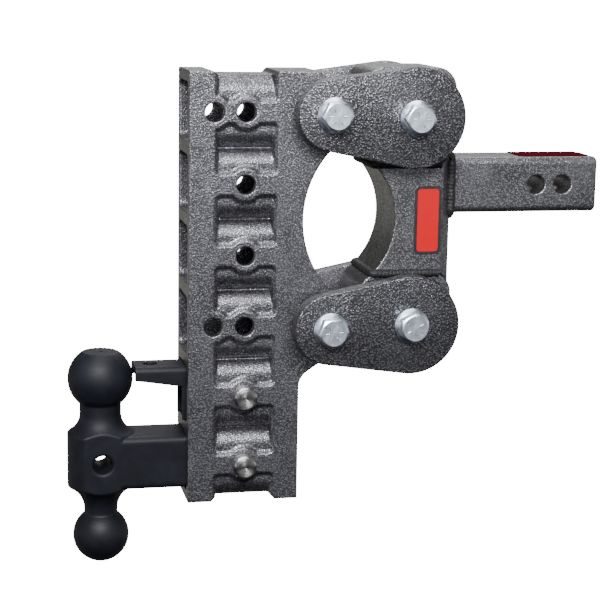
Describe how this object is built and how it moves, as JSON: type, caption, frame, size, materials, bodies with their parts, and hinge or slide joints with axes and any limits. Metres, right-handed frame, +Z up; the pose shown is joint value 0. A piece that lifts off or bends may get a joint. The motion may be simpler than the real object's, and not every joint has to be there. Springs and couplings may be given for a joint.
{
  "type": "drop hitch with ball",
  "caption": "Receiver hitch with a slotted drop column on rubber-torsion links, a ball mount with an upper and a lower ball, a pintle lock and clipped hitch pins.",
  "frame": {"origin": "centre of the first pin hole in the receiver shank, in the middle plane", "axes": "+X along the shank into the vehicle's receiver, +Y across the vehicle, +Z up"},
  "size_m": [0.486, 0.1506, 0.4533],
  "materials": {
    "column_paint": "silver-vein hammered powder coat",
    "link_paint": "charcoal hammered powder coat",
    "knuckle_paint": "silver-vein hammered powder coat",
    "black_paint": "satin black powder coat",
    "zinc": "bright zinc plate",
    "stainless": "turned stainless steel",
    "spring_steel": "zinc-plated spring wire",
    "bare_steel": "oiled bare steel",
    "bronze": "sintered bronze",
    "rubber": "extruded natural rubber",
    "weld": "painted weld bead",
    "decal": "printed decal",
    "label": "printed label"
  },
  "bodies": {
    "knuckle": {"receiver_shank": "knuckle_paint", "shank_weld": "weld", "shank_label": "label", "knuckle_block": "knuckle_paint", "knuckle_badge": "decal", "upper_torsion_housing": "knuckle_paint", "upper_housing_weld": "weld", "upper_cord_front_top": "rubber", "upper_cord_back_top": "rubber", "upper_cord_front_bottom": "rubber", "upper_cord_back_bottom": "rubber", "lower_torsion_housing": "knuckle_paint", "lower_housing_weld": "weld", "lower_cord_front_top": "rubber", "lower_cord_back_top": "rubber", "lower_cord_front_bottom": "rubber", "lower_cord_back_bottom": "rubber"},
    "upper_link": {"upper_torsion_bar": "bare_steel", "upper_pivot_pin": "bare_steel", "upper_link_plate_near": "link_paint", "upper_column_bolt_near": "zinc", "upper_bar_bolt_near": "zinc", "upper_link_plate_far": "link_paint", "upper_column_bolt_far": "zinc", "upper_bar_bolt_far": "zinc"},
    "lower_link": {"lower_torsion_bar": "bare_steel", "lower_pivot_pin": "bare_steel", "lower_link_plate_near": "link_paint", "lower_column_bolt_near": "zinc", "lower_bar_bolt_near": "zinc", "lower_link_plate_far": "link_paint", "lower_column_bolt_far": "zinc", "lower_bar_bolt_far": "zinc"},
    "column": {"drop_column": "column_paint", "dual_ball_mount": "black_paint", "pintle_lock": "black_paint", "upper_bushing_near": "bronze", "upper_thrust_washer_near": "bare_steel", "upper_bushing_far": "bronze", "upper_thrust_washer_far": "bare_steel", "lower_bushing_near": "bronze", "lower_thrust_washer_near": "bare_steel", "lower_bushing_far": "bronze", "lower_thrust_washer_far": "bare_steel"},
    "upper_pin": {"upper_hitch_pin": "stainless"},
    "upper_clip": {"upper_hitch_pin_clip": "spring_steel"},
    "lower_pin": {"lower_hitch_pin": "stainless"},
    "lower_clip": {"lower_hitch_pin_clip": "spring_steel"}
  },
  "joints": [
    {"name": "upper_link_swing", "type": "hinge", "parent": "knuckle", "child": "upper_link", "pos_m": [-0.1498, 0, 0.0637], "axis": [0, -1, 0], "range_deg": [-6, 14], "stiffness_Nm_per_rad": 450, "springref_deg": -0.77},
    {"name": "lower_link_swing", "type": "hinge", "parent": "knuckle", "child": "lower_link", "pos_m": [-0.1498, 0, -0.1213], "axis": [0, -1, 0], "range_deg": [-6, 14], "stiffness_Nm_per_rad": 450, "springref_deg": -0.77},
    {"name": "column_swing", "type": "hinge", "parent": "upper_link", "child": "column", "pos_m": [-0.2238, 0, 0.0662], "axis": [0, -1, 0], "range_deg": [-14, 6]},
    {"name": "upper_pin_float", "type": "slide", "parent": "column", "child": "upper_pin", "axis": [0, -1, 0], "range_m": [0, 0.008]},
    {"name": "upper_clip_pull", "type": "slide", "parent": "upper_pin", "child": "upper_clip", "axis": [0, 0, 1], "range_m": [0, 0.034], "deforming": ["upper_hitch_pin_clip"]},
    {"name": "lower_pin_float", "type": "slide", "parent": "column", "child": "lower_pin", "axis": [0, -1, 0], "range_m": [0, 0.008]},
    {"name": "lower_clip_pull", "type": "slide", "parent": "lower_pin", "child": "lower_clip", "axis": [0, 0, 1], "range_m": [0, 0.02], "deforming": ["lower_hitch_pin_clip"]}
  ],
  "couplings": [
    {"joint": "lower_link_swing", "follows": "upper_link_swing", "ratio": 1},
    {"joint": "column_swing", "follows": "upper_link_swing", "ratio": -0.97393}
  ]
}
